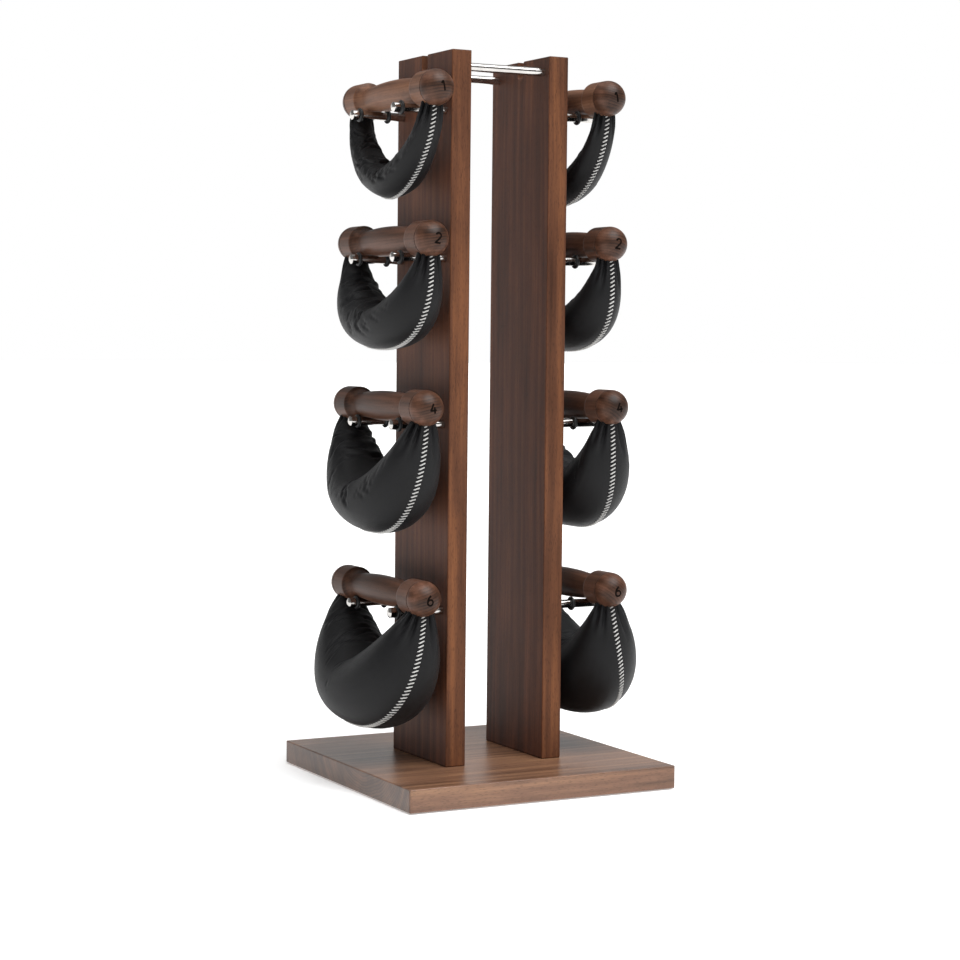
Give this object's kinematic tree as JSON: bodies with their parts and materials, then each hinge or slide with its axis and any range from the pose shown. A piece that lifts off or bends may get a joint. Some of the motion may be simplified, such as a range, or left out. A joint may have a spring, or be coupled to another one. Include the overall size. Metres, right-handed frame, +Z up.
{
  "type": "dumbbell rack",
  "caption": "Walnut tower rack: two uprights on a square base carry leather swing dumbbells, each hung by its turned handle on a pair of steel pegs.",
  "frame": {"origin": "centre of the rack's footprint, on the floor under its rubber pads", "axes": "+X across the two uprights, from the left dumbbells to the right ones; +Y from the front to the back, along the handles; +Z up"},
  "size_m": [0.3728, 0.345, 0.85],
  "materials": {
    "base_walnut": "oiled, satin",
    "upright_walnut": "oiled, satin",
    "turned_walnut": "turned and waxed, satin",
    "polished_steel": "polished stainless steel",
    "ring_rubber": "matt black",
    "pad_rubber": "matt black",
    "black_leather": "fine grain, satin",
    "iron_shot": null,
    "zinc_steel": "zinc plated",
    "brass": "plain",
    "beech": "bare"
  },
  "bodies": {
    "rack": {"base_board": "base_walnut", "base_pads": "pad_rubber", "left_upright": "upright_walnut", "right_upright": "upright_walnut", "front_tie_rod": "polished_steel", "rear_tie_rod": "polished_steel", "inner_peg_rings": "ring_rubber", "outer_peg_rings": "ring_rubber", "base_screws": "zinc_steel", "thread_inserts": "brass", "locating_dowels": "beech", "top_pegs": "polished_steel", "upper_pegs": "polished_steel", "lower_pegs": "polished_steel", "bottom_pegs": "polished_steel"},
    "left_top_dumbbell": {"left_top_handle": "turned_walnut", "left_top_end_caps": "turned_walnut", "left_top_cap_screws": "zinc_steel", "left_top_bag": "black_leather", "left_top_shot": "iron_shot"},
    "left_upper_dumbbell": {"left_upper_handle": "turned_walnut", "left_upper_end_caps": "turned_walnut", "left_upper_cap_screws": "zinc_steel", "left_upper_bag": "black_leather", "left_upper_shot": "iron_shot"},
    "left_lower_dumbbell": {"left_lower_handle": "turned_walnut", "left_lower_end_caps": "turned_walnut", "left_lower_cap_screws": "zinc_steel", "left_lower_bag": "black_leather", "left_lower_shot": "iron_shot"},
    "left_bottom_dumbbell": {"left_bottom_handle": "turned_walnut", "left_bottom_end_caps": "turned_walnut", "left_bottom_cap_screws": "zinc_steel", "left_bottom_bag": "black_leather", "left_bottom_shot": "iron_shot"},
    "right_top_dumbbell": {"right_top_handle": "turned_walnut", "right_top_end_caps": "turned_walnut", "right_top_cap_screws": "zinc_steel", "right_top_bag": "black_leather", "right_top_shot": "iron_shot"},
    "right_upper_dumbbell": {"right_upper_handle": "turned_walnut", "right_upper_end_caps": "turned_walnut", "right_upper_cap_screws": "zinc_steel", "right_upper_bag": "black_leather", "right_upper_shot": "iron_shot"},
    "right_lower_dumbbell": {"right_lower_handle": "turned_walnut", "right_lower_end_caps": "turned_walnut", "right_lower_cap_screws": "zinc_steel", "right_lower_bag": "black_leather", "right_lower_shot": "iron_shot"},
    "right_bottom_dumbbell": {"right_bottom_handle": "turned_walnut", "right_bottom_end_caps": "turned_walnut", "right_bottom_cap_screws": "zinc_steel", "right_bottom_bag": "black_leather", "right_bottom_shot": "iron_shot"}
  },
  "joints": [
    {"name": "left_top_lift", "type": "slide", "parent": "rack", "child": "left_top_dumbbell", "axis": [-0.866, 0, 0.5], "range_m": [0, 0.13]},
    {"name": "left_upper_lift", "type": "slide", "parent": "rack", "child": "left_upper_dumbbell", "axis": [-0.866, 0, 0.5], "range_m": [0, 0.13]},
    {"name": "left_lower_lift", "type": "slide", "parent": "rack", "child": "left_lower_dumbbell", "axis": [-0.866, 0, 0.5], "range_m": [0, 0.13]},
    {"name": "left_bottom_lift", "type": "slide", "parent": "rack", "child": "left_bottom_dumbbell", "axis": [-0.866, 0, 0.5], "range_m": [0, 0.13]},
    {"name": "right_top_lift", "type": "slide", "parent": "rack", "child": "right_top_dumbbell", "axis": [0.866, 0, 0.5], "range_m": [0, 0.13]},
    {"name": "right_upper_lift", "type": "slide", "parent": "rack", "child": "right_upper_dumbbell", "axis": [0.866, 0, 0.5], "range_m": [0, 0.13]},
    {"name": "right_lower_lift", "type": "slide", "parent": "rack", "child": "right_lower_dumbbell", "axis": [0.866, 0, 0.5], "range_m": [0, 0.13]},
    {"name": "right_bottom_lift", "type": "slide", "parent": "rack", "child": "right_bottom_dumbbell", "axis": [0.866, 0, 0.5], "range_m": [0, 0.13]}
  ]
}
